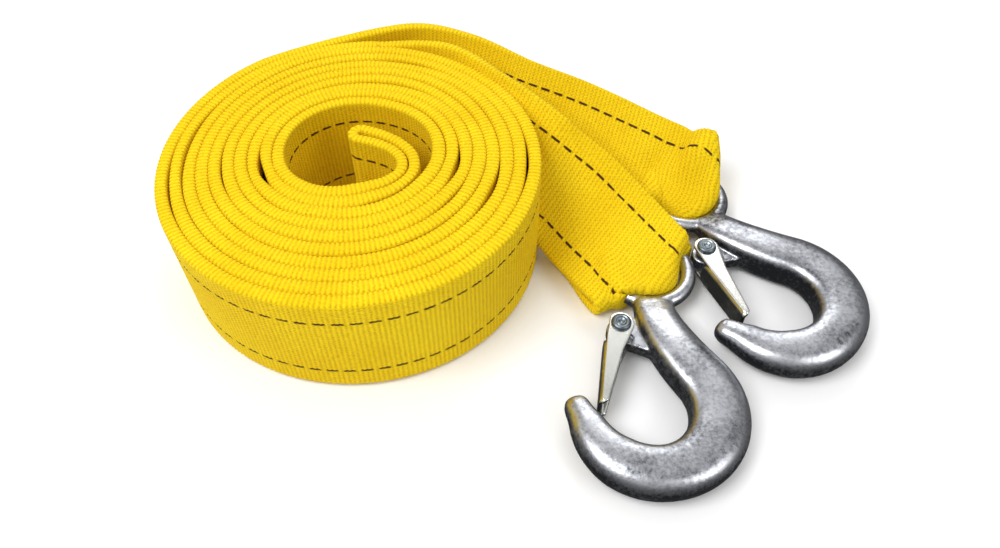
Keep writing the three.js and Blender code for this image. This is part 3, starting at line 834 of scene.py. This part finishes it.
def hook_solids():
    lug = arc(RIVET_PLACE, 5.2, 95, 250) + [(-4.0, -40.0), (1.0, -24.0)]
    top = HOOK_MID + LUG_THICK / 4
    return [forging_rings(), torus_rings(), plate_rings(lug, top - LUG_THICK, top)]


def place(obj, origin, turn):
    """Moves a mesh made round an origin into the frame."""
    matrix = Matrix.Translation(Vector(origin * MM)) @ Matrix.Rotation(turn, 4, "Z")
    obj.data.transform(matrix)
    obj.data.update()


ENDS = {
    "front": (JOINTS["front_hook_swing"], FRONT_PULL, 0.0),
    "back": (JOINTS["back_hook_swing"], BACK_PULL, BACK_TURN),
}
HOOK_VOXEL = 0.5
HOOK_EASE = 5


def make_hooks():
    for end, (wire, pull, turn) in ENDS.items():
        eye = (wire + EYE_RADIUS * pull) * [1, 1, 0]
        hook = fuse(f"snap_hook_{end}", hook_solids(), FORGED, HOOK_VOXEL, HOOK_EASE)
        paint(hook, hook_painted_light)
        place(hook, eye, turn)
        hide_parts(f"hook_{end}")
        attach(hook, f"{end}_hook")


make_hooks()


# Latches, rivets and springs, round the rivet's axis: +X towards the latch's free end, +Y into the hook

LATCH_HALF = 6.0
LATCH_SHEET = 1.5
LATCH_BACK = 6.0
LATCH_REST_INSET = 10.8
LATCH_REST = BOWL_CENTRE + [LATCH_REST_INSET - BOWL_RADIUS, 0.0] - RIVET_PLACE
LATCH_LENGTH = float(np.linalg.norm(LATCH_REST))
LATCH_LEAN = math.atan2(LATCH_REST[1], LATCH_REST[0])
EAR_RADIUS = 5.2
LATCH_VOXEL = 0.32
LATCH_EASE = 3


def latch_solids():
    """Two ears and the web between their back edges."""
    edge = 1.0 - LATCH_BACK
    ear = arc((0, 0), EAR_RADIUS, 65, 238) + [(6.5, edge), (LATCH_LENGTH - 2.0, edge)]
    ear += arc((LATCH_LENGTH - 2.0, -LATCH_BACK + 2.4), 1.4, -90, 60, 8) + [(12.0, 1.6)]
    solids = [plate_rings(ear, z - LATCH_SHEET / 2, z + LATCH_SHEET / 2)
              for z in (LATCH_HALF - LATCH_SHEET / 2, LATCH_SHEET / 2 - LATCH_HALF)]
    # The web joins the ears round two bent corners
    bend = 2.4
    section = []
    for radius in (bend, bend - LATCH_SHEET):
        row = arc((bend - LATCH_BACK, LATCH_HALF - bend), radius, 90, 180, 8)
        row += arc((bend - LATCH_BACK, bend - LATCH_HALF), radius, 180, 270, 8)
        section.append(row)
    outline = np.array(section[0] + section[1][::-1])
    rings = []
    shoulders = [(6.8, 0.45), (7.4, 0.72), (8.4, 0.9), (10.0, 1.0)]
    for x, share in shoulders + [(LATCH_LENGTH - 1.5, 1.0), (LATCH_LENGTH, 0.92)]:
        ring = np.column_stack([np.full(len(outline), x), outline[:, 0], outline[:, 1] * share])
        rings.append(ring)
    solids.append(np.array(rings))
    return solids


# Painted reflection and shade: dark on the upright faces, bright on the faces that point up or down
def latch_painted_light(points, normals):
    return 0.18 + 0.82 * smooth(np.abs(normals[:, 2]), 0.3, 0.8)


def lathe_rings(profile, count=40):
    """Rings round the Z axis from (radius, height) pairs, which start and end near the axis."""
    a = np.linspace(0, 2 * np.pi, count, endpoint=False)
    return np.array([np.column_stack([r * np.cos(a), r * np.sin(a), np.full(count, z)]) for r, z in profile])


RIVET_HEAD = 3.9
RIVET_RISE = 1.45
RIVET_GRIP = 0.05


def rivet_profile():
    """The rivet's outline: a flat lower head, the shank, and an upper head with its rings."""
    grip = LATCH_HALF + RIVET_GRIP
    top = grip + RIVET_RISE
    head = RIVET_HEAD
    rings = [(3.55, top - 0.35), (3.05, top), (2.75, top), (2.5, top - 0.4), (2.15, top - 0.4),
             (1.9, top - 0.05), (1.35, top - 0.05), (1.1, top - 0.6), (0.55, top - 0.75), (0.05, top - 0.75)]
    upper = [(2.3, grip), (head, grip), (head + 0.05, grip + 0.45), *rings]
    lower = [(0.05, -top), (head - 0.9, -top), (head, 0.8 - top), (head, -grip), (2.3, -grip)]
    return lower + upper


# Painted reflection: lighter on the faces that point up, in concentric bands round the rivet's axis
def rivet_painted_light(points, normals):
    away = np.hypot(points[:, 0], points[:, 1])
    return 0.25 + 0.5 * smooth(normals[:, 2], 0.5, 0.95) * (0.5 + 0.5 * np.sin(away * 5.2 + 1.0))


def wire_rings(points, radius, sides=12):
    points = resample(np.asarray(points, float), 0.35)
    heading = unit(np.gradient(points, axis=0))
    across = unit(np.cross(heading, np.where(np.abs(heading[:, 2:]) > 0.9, [1.0, 0, 0], [0, 0, 1.0])))
    other = np.cross(heading, across)
    a = np.linspace(0, 2 * np.pi, sides, endpoint=False)[:, None]
    return np.array([p + radius * (np.cos(a) * u + np.sin(a) * v) for p, u, v in zip(points, across, other)])


SPRING_WIRE = 0.45
SPRING_RADIUS = 3.3
SPRING_TURNS = 3
SPRING_PITCH = 0.95
SPRING_CLEARANCE = 0.3
SPRING_START = math.radians(-40)
# The leg's places past its first bend, round the rivet's axis
SPRING_LEG = [[3.6, -8.6, 2.4], [4.6, -10.4, 4.6], [5.8, -10.2, 5.6]]


def spring_points():
    """The coil round the rivet above the lug, and its leg to the hook's shank."""
    low = LUG_THICK / 4 + SPRING_CLEARANCE + SPRING_WIRE
    turn = np.linspace(0, 2 * np.pi * SPRING_TURNS, 24 * SPRING_TURNS)
    a = SPRING_START + turn
    coil = np.column_stack([SPRING_RADIUS * np.cos(a), SPRING_RADIUS * np.sin(a),
                            low + SPRING_PITCH * turn / (2 * np.pi)])
    leg = centripetal([coil[0], coil[0] + [2.2, -2.4, 0.6], *SPRING_LEG], 12)
    return np.concatenate([leg[::-1][:-1], coil])


def pivot_of(wire, pull, turn):
    """The middle of an end's rivet, in the frame."""
    eye = (wire + EYE_RADIUS * pull) * [1, 1, 0]
    c, s = math.cos(turn), math.sin(turn)
    x, y = RIVET_PLACE
    return eye + [c * x - s * y, s * x + c * y, HOOK_MID]


def fit(obj, pivot, turn, painted_light, node, body):
    """Gives a piece of an end its painted reflection and shade, its place and what it stands for."""
    paint(obj, painted_light)
    place(obj, pivot, turn)
    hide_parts(node)
    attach(obj, body)


def make_latches():
    for end, (wire, pull, turn) in ENDS.items():
        pivot = pivot_of(wire, pull, turn)
        hook = f"{end}_hook"
        latch = fuse(f"latch_plate_{end}", latch_solids(), STAMPED, LATCH_VOXEL, LATCH_EASE)
        fit(latch, pivot, turn + LATCH_LEAN, latch_painted_light, f"latch_{end}", f"{end}_latch")
        rivet = ring_solid(f"rivet_pin_{end}", lathe_rings(rivet_profile()), RIVET)
        fit(rivet, pivot, turn, rivet_painted_light, f"rivet_{end}", hook)
        spring = ring_solid(f"spring_{end}", wire_rings(spring_points(), SPRING_WIRE), WIRE)
        fit(spring, pivot, turn, hook_painted_light, f"latch_spring_{end}", hook)



make_latches()


# Floor and light

FLOOR_SIZE = 6.0
FLOOR_BELOW = 0.0002
# The room round it: [height, grey]
ROOM = ((0.0, 0.2), (0.35, 0.3), (0.55, 0.9), (1.0, 1.0))
ROOM_STRENGTH = 0.62
LIGHTS = (("key", (-0.45, -0.25, 0.85), 0.5, 6.0), ("fill", (0.75, -0.5, 0.6), 0.5, 2.4),
          ("rim", (0.15, 0.85, 0.6), 0.6, 3.0))


def make_floor():
    mesh = bpy.data.meshes.new("floor")
    size = FLOOR_SIZE
    corners = [(-size, -size, 0), (size, -size, 0), (size, size, 0), (-size, size, 0)]
    mesh.from_pydata(corners, [], [(0, 1, 2, 3)])
    floor = add(bpy.data.objects.new("floor", mesh))
    floor.location.z = -FLOOR_BELOW
    n = Nodes("floor")
    n.set(n.shader, "Base Color", (0.97, 0.97, 0.97, 1.0))
    n.set(n.shader, "Roughness", 0.9)
    mesh.materials.append(n.material)
    floor.visible_glossy = False


def make_room():
    world = bpy.data.worlds.new("studio")
    bpy.context.scene.world = world
    world.use_nodes = True
    tree = world.node_tree
    background = tree.nodes["Background"]
    split = tree.nodes.new("ShaderNodeSeparateXYZ")
    tree.links.new(tree.nodes.new("ShaderNodeTexCoord").outputs["Generated"], split.inputs[0])
    ramp = tree.nodes.new("ShaderNodeValToRGB")
    tree.links.new(split.outputs[2], ramp.inputs[0])
    tree.links.new(ramp.outputs[0], background.inputs[0])
    for k, (at, value) in enumerate(ROOM):
        stop = ramp.color_ramp.elements[k] if k < 2 else ramp.color_ramp.elements.new(at)
        stop.position = at
        stop.color = (value, value, value, 1.0)
    background.inputs[1].default_value = ROOM_STRENGTH


def make_lights():
    for name, spot, size, power in LIGHTS:
        data = bpy.data.lights.new(name, "AREA")
        data.size = size
        data.energy = power
        light = add(bpy.data.objects.new(name, data))
        light.location = spot
        light.rotation_euler = (Vector((0, 0, 0.02)) - Vector(spot)).to_track_quat("-Z", "Y").to_euler()


make_floor()
make_room()
make_lights()
bpy.context.scene.view_settings.view_transform = "Standard"
